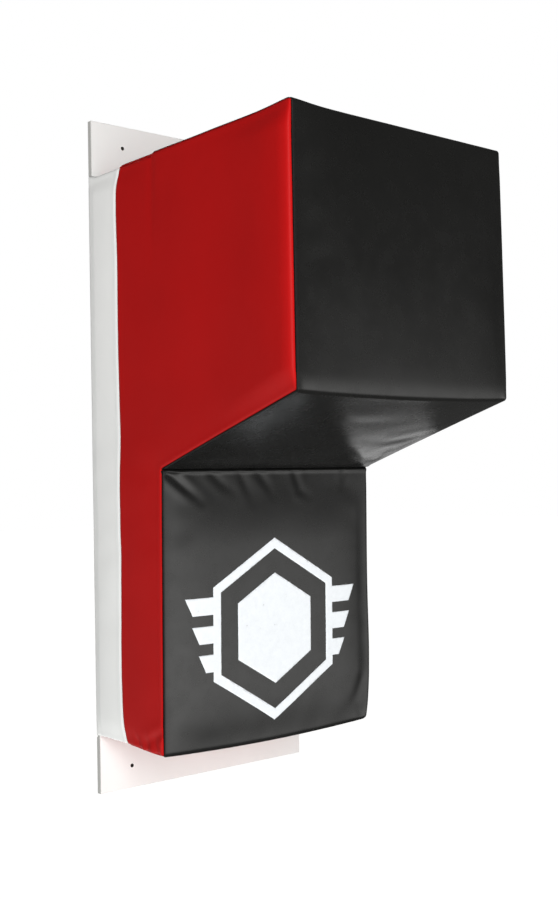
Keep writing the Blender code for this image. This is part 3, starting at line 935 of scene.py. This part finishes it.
def side_surface(sign, columns):
    """A side's soft surface at columns along y: places, outward directions, seam shade, what is there."""
    points, there = fine.side(sign, columns)
    placed, normal, edge, along = skin(warp_to_band(points, sign))
    move = resample(moves["left" if sign < 0 else "right"], coarse_y, coarse.rows(), columns, fine.rows())
    y, z = points[..., 1], points[..., 2]
    move = move * (1 - SIDE_HOLD * smooth((z - INNER_Z) / 0.05))[..., None]
    gap = np.abs(y - BAND_Y)
    near = np.minimum(edge, gap)
    height = outline_seam(edge, along, sign, True)
    height = height + valley(gap, 0.0009, 0.0015, 0.0004)
    height = height + pucker(gap, z, 91 + int(sign), 0.00010, 0.006, 0.016)
    joint = y - FOAM_JOINT_Y
    line = -np.exp(-(joint / 0.0024) ** 2) + 0.6 * np.exp(-((joint - 0.0045) / 0.0022) ** 2)
    height = height + JOINT_LINE * smooth((z - 0.415) / 0.02) * line
    height = height - JOINT_DIP * smooth((z - 0.20) / 0.16) * np.exp(-(joint / 0.008) ** 2)
    height = height + SIDE_LUMPS * lump(points, 0.100, 8 + int(sign)) * smooth(near / 0.03)
    height = height + creased(y, z, HEM_CREASES) * smooth(edge / 0.003)
    rear = REAR_SWELL * smooth((y + 0.17) / 0.14) * smooth(edge / 0.030)
    shaped = placed + move + normal * height[..., None]
    shaped[..., 0] += sign * rear * (1 - 0.35 * smooth((y - BACK_Y + 0.012) / 0.012))
    shaped = settled(points, shaped)
    step = smooth((y - JOINT_STEP_Y) / 0.004) * smooth((z - TOP + 0.05) / 0.05) * smooth((BACK_Y - y) / 0.01)
    shaped[..., 2] -= JOINT_STEP * step
    return shaped, normal, np.exp(-(near / SEAM_SHADE) ** 2), there


def side_panel(sign, name):
    """The red side, with a painted highlight in its colour along its front edges, where the rolled vinyl
    catches the light.
    """
    columns = np.concatenate([fine.y_front, fine.y_mid[1:]])
    shaped, normal, shade, there = side_surface(sign, columns)
    flat = fine.side(sign, columns)[0]
    y, z = flat[..., 1], flat[..., 2]
    # A painted highlight along the front edges, where the rolled red catches the light.
    upper = np.exp(-((y - FRONT_Y) / 0.0070) ** 2) * smooth((z - FACE_BOTTOM_Z + 0.004) / 0.02)
    wear_and_painted_highlight = np.maximum(upper, 0.8 * np.exp(-((y - STEP_Y) / 0.006) ** 2) * (z < INNER_Z))
    quads = facing(shaped, grid_faces(there), normal)
    return sheet(f"{name}_side_cover", shaped, quads, f"{name}_side_panel", RED, shade,
                 wear_and_painted_highlight)


TURN_RADIUS = 0.0024
HEM_STAPLES = np.linspace(0.015 - TOP, TOP - 0.015, 12)


def rear_band(sign, name):
    """White vinyl from the red seam back round the board's edge, into the rebate on its back."""
    shaped, normal, shade, _ = side_surface(sign, fine.y_band)
    z = fine.side(sign, fine.y_band)[0][-1, :, 2]
    last = shaped[-1]
    proud = np.abs(last[:, 0]) - HALF_WIDTH
    centre_x, centre_y = HALF_WIDTH - TURN_RADIUS, HEM_BACK_Y - TURN_RADIUS
    columns, directions = [shaped], [normal]

    def add(x, y, direction):
        """Adds a column up the band, x out from the middle."""
        columns.append(np.column_stack([np.broadcast_to(sign * x, z.shape), np.broadcast_to(y, z.shape),
                                        last[:, 2]])[None])
        directions.append(np.tile(direction, (len(z), 1))[None])

    for share in (0.25, 0.5, 0.75):
        add(HALF_WIDTH + proud * (1 - 0.8 * smooth(share)), last[:, 1] + (centre_y - last[:, 1]) * share,
            [sign, 0, 0])
    for k in range(7):
        cos, sin = math.cos(math.pi / 2 * k / 6), math.sin(math.pi / 2 * k / 6)
        add(centre_x + TURN_RADIUS * cos + proud * 0.2 * (1 - k / 6), centre_y + TURN_RADIUS * sin,
            [sign * cos, sin, 0])
    dimples = sum(np.exp(-((z - at) / 0.006) ** 2) for at in HEM_STAPLES)
    for k in range(1, 10):
        share = k / 9
        ragged = 0.0006 * wave(z, 0.05, 17 + int(sign)) if k > 6 else 0
        pressed = 0.00025 * dimples * math.exp(-((share - 0.5) / 0.25) ** 2)
        add(centre_x - (centre_x - HEM_X) * share + ragged, HEM_BACK_Y - pressed, [0, 1, 0])
    points = np.concatenate(columns)

    # Its upper edge turns over onto the top.
    turned = final["top"][:len(fine.y_band)][::-1]
    turned = (turned[:, 1:1 + LIP_COLUMNS] if sign < 0 else turned[:, -2:-2 - LIP_COLUMNS:-1]) + [0, 0, 0.0004]
    lip = np.repeat(points[:, -1:], LIP_COLUMNS, axis=1)
    lip[:len(turned)] = turned
    points = np.concatenate([points, lip], axis=1)
    there = np.ones(points.shape[:2], bool)
    there[len(turned):, len(z):] = False
    whole_shade = np.zeros(points.shape[:2])
    whole_shade[:len(shaped), :len(z)] = shade
    up = np.zeros(lip.shape) + [0, 0, 1]
    quads = facing(points, grid_faces(there), np.concatenate([np.concatenate(directions), up], axis=1))
    final[name + "_band"] = points
    return sheet(f"{name}_band_cover", points, quads, f"{name}_rear_band", WHITE,
                 whole_shade, thickness=0.0009)


front_panel("top", "top_panel", RED)
front_panel("upper", "upper_front_panel", BLACK)
front_panel("lower", "lower_front_panel", BLACK)
front_panel("bottom", "bottom_panel", RED)
for sign, name in ((-1, "left"), (1, "right")):
    side_panel(sign, name)
    rear_band(sign, name)


# Stitches in the seam valleys

STITCH_PITCH = 0.0046
STITCH_SIDES = 6
# Rings along a stitch: the share of its length from the middle, the share of its radius.
STITCH_RINGS = ((-0.5, 0.35), (-0.42, 0.85), (-0.15, 1.0), (0.15, 1.0), (0.42, 0.85), (0.5, 0.35))


def stitches(name, path, look, length=0.0034, radius=0.00032):
    """Short capsules of thread laid along a seam."""
    run = path_length(path)
    count = int(run[-1] / STITCH_PITCH)
    at = (np.arange(count) + 0.5) * run[-1] / count
    where, ahead, behind = (np.stack([np.interp(at + gap, run, path[:, k]) for k in range(3)], axis=1)
                            for gap in (0, 0.001, -0.001))
    way = ahead - behind
    way /= np.linalg.norm(way, axis=1)[:, None]
    helper = np.where(np.abs(way[:, :1]) < 0.9, [[1.0, 0, 0]], [[0, 1.0, 0]])
    side = np.cross(way, helper)
    side /= np.linalg.norm(side, axis=1)[:, None]
    up = np.cross(side, way)
    points, faces = [], []
    for i in range(count):
        base = len(points)
        for share, width in STITCH_RINGS:
            for k in range(STITCH_SIDES):
                angle = 2 * math.pi * k / STITCH_SIDES
                points.append(where[i] + way[i] * length * share
                              + (side[i] * math.cos(angle) + up[i] * math.sin(angle)) * radius * width)
        last = base + (len(STITCH_RINGS) - 1) * STITCH_SIDES
        for ring in range(base, last, STITCH_SIDES):
            for k in range(STITCH_SIDES):
                a, b = ring + k, ring + (k + 1) % STITCH_SIDES
                faces.append((a, b, b + STITCH_SIDES, a + STITCH_SIDES))
        faces.append(tuple(base + k for k in reversed(range(STITCH_SIDES))))
        faces.append(tuple(last + k for k in range(STITCH_SIDES)))
    mesh = bpy.data.meshes.new(name)
    mesh.from_pydata([tuple(p) for p in points], [], faces)
    return stand(name, mesh, look)


for sign, name, column in ((-1, "left", 0), (1, "right", -1)):
    black = np.concatenate([final["upper"][:, column], final["lower"][1:, column]])
    stitches(f"{name}_front_stitches", black + [-sign * 0.0004, 0.0004, 0], BLACK_THREAD)
    # Thicker and half sunk, and black on a red seam: these stitches are painted shadow, the dark line along
    # the red side's upper edge.
    painted_shadow_line = final["top"][len(fine.y_band):, column] + [-sign * 0.0005, 0, 0.0012]
    stitches(f"{name}_top_stitches_as_shadow", painted_shadow_line, BLACK_THREAD, 0.0046, 0.00070)
    stitches(f"{name}_bottom_stitches", final["bottom"][:, column], RED_THREAD)
    stitches(f"{name}_band_stitches", final[name + "_band"][0], WHITE_THREAD)
for name, path in (("top_front", final["upper"][0]), ("inner", final["lower"][0]),
                   ("bottom_front", final["lower"][-1])):
    stitches(name + "_stitches", path, BLACK_THREAD)


# The print on the lower face

badge_low, badge_high = (corner[2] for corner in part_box("badge_print"))
core_low, core_high = (corner[2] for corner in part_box("badge_core_print"))
PRINT_Z = (badge_low + badge_high) / 2
BADGE_RADIUS = (badge_high - badge_low) / 2
CORE_RADIUS = (core_high - core_low) / 2
STROKE = 0.014
BAR_HEIGHT = 0.022
BAR_PITCH = 0.036
BAR_REACH = (0.145, 0.135, 0.125)
PRINT_PITCH = 0.004
PRINT_LIFT = 0.00030


def hexagon(radius):
    angles = [math.radians(90 + 60 * i) for i in range(6)]
    return [(radius * math.cos(angle), radius * math.sin(angle)) for angle in angles]


def badge_outline():
    flat_x = BADGE_RADIUS * math.cos(math.pi / 6)
    right = [(0, BADGE_RADIUS), (flat_x, BADGE_RADIUS / 2)]
    for row, reach in enumerate(BAR_REACH):
        z = (1 - row) * BAR_PITCH
        tip = reach - BAR_HEIGHT / 2
        right += [(flat_x, z + BAR_HEIGHT / 2), (reach, z + BAR_HEIGHT / 2), (tip, z - BAR_HEIGHT / 2),
                  (flat_x, z - BAR_HEIGHT / 2)]
    right += [(flat_x, -BADGE_RADIUS / 2), (0, -BADGE_RADIUS)]
    return right + [(-x, z) for x, z in reversed(right[1:-1])]


def on_lower_face(x, z):
    """Places on the soft lower face above flat-shape x and z."""
    shaped, xs, run = final["lower"], fine.x, fine.run("lower")
    u = np.interp(x, xs, np.arange(len(xs)))
    v = np.interp(INNER_Z - z + run[0], run, np.arange(len(run)))
    i, j = np.clip(v.astype(int), 0, len(run) - 2), np.clip(u.astype(int), 0, len(xs) - 2)
    a, b = (v - i)[:, None], (u - j)[:, None]
    return ((shaped[i, j] * (1 - b) + shaped[i, j + 1] * b) * (1 - a)
            + (shaped[i + 1, j] * (1 - b) + shaped[i + 1, j + 1] * b) * a)


def printed(name, node, loops):
    """A thin print cut to the outlines and laid on the soft lower face."""
    bm = bmesh.new()
    for loop in loops:
        rim = [bm.verts.new((x, 0, z + PRINT_Z)) for x, z in loop]
        for a, b in zip(rim, rim[1:] + rim[:1]):
            bm.edges.new((a, b))
    bmesh.ops.triangle_fill(bm, use_beauty=True, edges=bm.edges[:])
    for axis, normal in ((0, (1, 0, 0)), (2, (0, 0, 1))):
        low = min(v.co[axis] for v in bm.verts)
        high = max(v.co[axis] for v in bm.verts)
        cut = math.ceil(low / PRINT_PITCH) * PRINT_PITCH + 0.0013
        while cut < high:
            spot = [0, 0, 0]
            spot[axis] = cut
            bmesh.ops.bisect_plane(bm, geom=bm.verts[:] + bm.edges[:] + bm.faces[:], plane_co=spot,
                                   plane_no=normal)
            cut += PRINT_PITCH
    bmesh.ops.recalc_face_normals(bm, faces=bm.faces)
    flat = np.array([v.co[:] for v in bm.verts])
    ragged = 0.00012 * wave(flat[:, 0] + flat[:, 2] * 1.7, 0.004, 12)
    laid = on_lower_face(flat[:, 0] + ragged, flat[:, 2])
    laid[:, 1] -= PRINT_LIFT
    for v, p in zip(bm.verts, laid):
        v.co = p
    if sum(f.normal.y * f.calc_area() for f in bm.faces) > 0:
        bmesh.ops.reverse_faces(bm, faces=bm.faces)
    mesh = bpy.data.meshes.new(name)
    bm.to_mesh(mesh)
    bm.free()
    return stand(name, mesh, INK, [node], thickness=0.0002)


printed("badge_ink", "badge_print", [badge_outline(), hexagon(BADGE_RADIUS - STROKE)])
printed("badge_core_ink", "badge_core_print", [hexagon(CORE_RADIUS)])


# The foam inside

COVER_ROOM = 0.0060
FACING_INSET = 0.0112
CORE_INSET = 0.0117
FOAM_HALF_WIDTH = HALF_WIDTH - 0.0062
FOAM_TOP = TOP - 0.0065
SLAB_BACK_Y = BACK_Y - 0.0048
FOAM_COLUMNS = 23
ARRIS = 0.0035
SLAB_TO_BLOCK = 0.0004


def inset_profile(inset):
    """The struck faces' profile, moved inwards: its front, nose, inner and lower corners."""
    a = PROFILE[1:5]
    out = [a[0] - OUTWARD[1] * inset]
    for k in (1, 2):
        n, m = OUTWARD[k], OUTWARD[k + 1]
        out.append(a[k] - (n + m) / (1 + n @ m) * inset)
    out.append(a[3] - OUTWARD[3] * inset)
    return out


def foam_piece(name, node, outline, look):
    """A foam slab cut to an outline, its arrises softened, as the cover squeezes them."""
    bm = bmesh.new()
    rows = []
    for x in np.linspace(-FOAM_HALF_WIDTH, FOAM_HALF_WIDTH, FOAM_COLUMNS):
        rows.append([bm.verts.new((x, y, z)) for y, z in outline])
    for one, two in zip(rows, rows[1:]):
        for k in range(len(outline)):
            j = (k + 1) % len(outline)
            bm.faces.new((one[k], one[j], two[j], two[k]))
    bm.faces.new(rows[0][::-1])
    bm.faces.new(rows[-1])
    bmesh.ops.recalc_face_normals(bm, faces=bm.faces)
    corners = [e for e in bm.edges if len(e.link_faces) == 2 and e.calc_face_angle(0) > 0.4]
    bmesh.ops.bevel(bm, geom=corners, offset=ARRIS, segments=3, profile=0.5, affect="EDGES")
    mesh = bpy.data.meshes.new(name)
    bm.to_mesh(mesh)
    bm.free()
    return stand(name, mesh, look, [node])


_, skin_nose, skin_inner, skin_foot = inset_profile(COVER_ROOM)
_, facing_nose, facing_inner, facing_foot = inset_profile(FACING_INSET)
_, core_nose, core_inner, _ = inset_profile(CORE_INSET)
block_back = core_inner[0] - SLAB_TO_BLOCK
slope = (core_inner[1] - core_nose[1]) / (core_inner[0] - core_nose[0])
block_back_z = core_nose[1] + slope * (block_back - core_nose[0])
for name, node, outline in (
        ("base_slab_foam", "base_foam_slab",
         [(core_inner[0], FOAM_TOP), (SLAB_BACK_Y, FOAM_TOP), (SLAB_BACK_Y, -FOAM_TOP),
          (core_inner[0], -FOAM_TOP)]),
        ("upper_block_foam", "upper_foam_block",
         [(core_nose[0], FOAM_TOP), tuple(core_nose), (block_back, block_back_z), (block_back, FOAM_TOP)])):
    foam_piece(name, node, outline, SOFT)
for name, node, outline in (
        ("upper_face_foam", "upper_face_firm_foam",
         [(skin_nose[0], FOAM_TOP), (skin_nose[0], skin_nose[1] + 0.006),
          (facing_nose[0], facing_nose[1] + 0.002), (facing_nose[0], FOAM_TOP)]),
        ("underside_foam", "underside_firm_foam",
         [tuple(skin_nose + [0.006, -0.001]), tuple(skin_inner), tuple(facing_inner),
          tuple(facing_nose + [0.003, -0.001])]),
        ("lower_face_foam", "lower_face_firm_foam",
         [(skin_inner[0], skin_inner[1] - 0.001), (skin_foot[0], -FOAM_TOP), (facing_foot[0], -FOAM_TOP),
          (facing_inner[0], facing_inner[1] - 0.001)])):
    foam_piece(name, node, outline, FIRM)


# Finishes of the CAD nodes that stay

def dress(node, look):
    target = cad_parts[node]
    target.data.materials.clear()
    target.data.materials.append(look)


dress("backboard", LAMINATE)
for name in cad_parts:
    if "_staple_" in name:
        dress(name, WIRE)
    elif name.endswith("_tack_strip"):
        dress(name, FIBRE)


# Floor, light and camera

def level_right(ahead):
    """The level direction to the right of someone looking ahead."""
    right = np.cross(ahead, [0, 0, 1])
    return right / np.linalg.norm(right)


def aim(item, right, up, ahead, place):
    """Turns a light or the camera, which both look along their own -Z, and puts it in its place."""
    item.matrix_world = Matrix([[right[k], up[k], -ahead[k], place[k]] for k in range(3)] + [[0, 0, 0, 1]])


def light(name, place, towards, size, power, colour=(1, 1, 1)):
    lamp = bpy.data.lights.new(name, "AREA")
    lamp.shape = "RECTANGLE"
    lamp.size, lamp.size_y = size
    lamp.energy = power
    lamp.color = colour
    item = bpy.data.objects.new(name, lamp)
    bpy.context.scene.collection.objects.link(item)
    ahead = np.array(towards) - np.array(place)
    ahead = ahead / np.linalg.norm(ahead)
    right = level_right(ahead)
    aim(item, right, np.cross(right, ahead), ahead, place)
    return item


FLOOR_Z = -1.35
FLOOR_REACH = 30
floor_mesh = bpy.data.meshes.new("floor")
corners = ((-1, -1), (1, -1), (1, 1), (-1, 1))
floor_mesh.from_pydata([(x * FLOOR_REACH, y * FLOOR_REACH, FLOOR_Z) for x, y in corners], [], [(0, 1, 2, 3)])
floor = bpy.data.objects.new("floor", floor_mesh)
bpy.context.scene.collection.objects.link(floor)
floor_mesh.materials.append(finished(new_material("pale_floor")[0], {
    "Base Color": (0.30, 0.30, 0.295, 1), "Roughness": 0.9,
    "Emission Color": (1.0, 0.995, 0.985, 1), "Emission Strength": 1.0}))
floor.visible_glossy = False

# The black vinyl mirrors the studio round it: in front, a glow graded by height (the z of the direction
# and its strength); behind, only the floor's sheen, far down on the left.
AHEAD_GLOW = ((0.09, 0.0), (-0.14, 0.58), (-0.21, 0.62), (-0.30, 0.38), (-0.37, 0.36), (-0.45, 0.05),
              (-0.80, 0.03))
AHEAD_POWER = 6.1
FLOOR_POWER = 2.2
BASE_GLOW = 0.075
SKY_HIGH, SKY_LOW = 0.2, -1.0

world = bpy.data.worlds.new("studio")
bpy.context.scene.world = world
world.use_nodes = True
tree = world.node_tree
node = grower(tree)
way = node("SeparateXYZ", {0: node("TexCoord")["Generated"]})
flat_way = node("CombineXYZ", {"X": way["X"], "Y": way["Y"]})[0]
level_way = node("VectorMath", {0: flat_way}, operation="NORMALIZE")
backwards = node("SeparateXYZ", {0: level_way["Vector"]})["Y"]


def faded(source, low, high):
    return ranged(node, source, 0.0, 1.0, low, high)


def combined(one, two, operation="MULTIPLY"):
    return node("Math", {0: one, 1: two}, operation=operation)[0]


stops = [((SKY_HIGH - height) / (SKY_HIGH - SKY_LOW), (glow, glow, glow, 1)) for height, glow in AHEAD_GLOW]
by_height = ramp(tree, faded(way["Z"], SKY_HIGH, SKY_LOW), stops)
ahead_glow = combined(by_height, faded(backwards, -0.42, -0.92))
floor_glow = combined(faded(way["Z"], -0.44, -0.66),
                      combined(faded(backwards, 0.0, 0.4), faded(way["X"], 0.0, -0.25)))
glow = combined(combined(ahead_glow, AHEAD_POWER), combined(floor_glow, FLOOR_POWER), "ADD")
background = tree.nodes["Background"]
background.inputs["Color"].default_value = (1.0, 0.995, 0.98, 1)
feed(tree, background.inputs["Strength"], combined(glow, BASE_GLOW, "ADD"))
backdrop = node("Background", {"Color": (1, 1, 1, 1), "Strength": 1.0})["Background"]
shown = node("MixShader", {"Fac": node("LightPath")["Is Camera Ray"], 1: background.outputs["Background"],
                           2: backdrop})
feed(tree, tree.nodes["World Output"].inputs["Surface"], shown["Shader"])

light("key", (-1.5, -2.9, 0.8), (0, -0.1, 0.0), (1.3, 1.8), 76, (1.0, 0.998, 0.99))
light("rear_fill", (1.7, 2.4, 2.0), (0, 0, 0), (1.6, 1.6), 22)
# A small card under the overhang gives the sheen patch on the sloping underside.
card = light("card", (0.296, -0.13, -0.083), (0.296, -1.0, -0.083), (0.206, 0.064), 0.046)
card.visible_camera = False
low_fill = light("low_fill", (-0.9, -0.25, -1.0), (-0.10, -0.05, -0.30), (0.7, 0.7), 2.0, (0.90, 1.0, 1.0))
low_fill.visible_camera = False
low_fill.visible_glossy = False

scene = bpy.context.scene
scene.view_settings.view_transform = "Standard"
scene.view_settings.look = "None"
scene.view_settings.exposure = 0
scene.view_settings.gamma = 1

# Fitted to the photo: degrees right of +Y, up, and clockwise about the view; the eye in metres.
YAW, PITCH, ROLL = 40.24, 1.43, -1.08
EYE = (-1.0317, -1.3993, -0.0381)
camera_data = bpy.data.cameras.new("camera")
camera_data.sensor_fit = "AUTO"
camera_data.sensor_width = 36
camera_data.lens = 48.43
camera_data.clip_end = 200
camera = bpy.data.objects.new("camera", camera_data)
scene.collection.objects.link(camera)
yaw, pitch, roll = (math.radians(angle) for angle in (YAW, PITCH, ROLL))
ahead = np.array([math.sin(yaw) * math.cos(pitch), math.cos(yaw) * math.cos(pitch), math.sin(pitch)])
level = level_right(ahead)
upright = np.cross(level, ahead)
right = math.cos(roll) * level + math.sin(roll) * upright
up = -math.sin(roll) * level + math.cos(roll) * upright
aim(camera, right, up, ahead, EYE)
scene.camera = camera
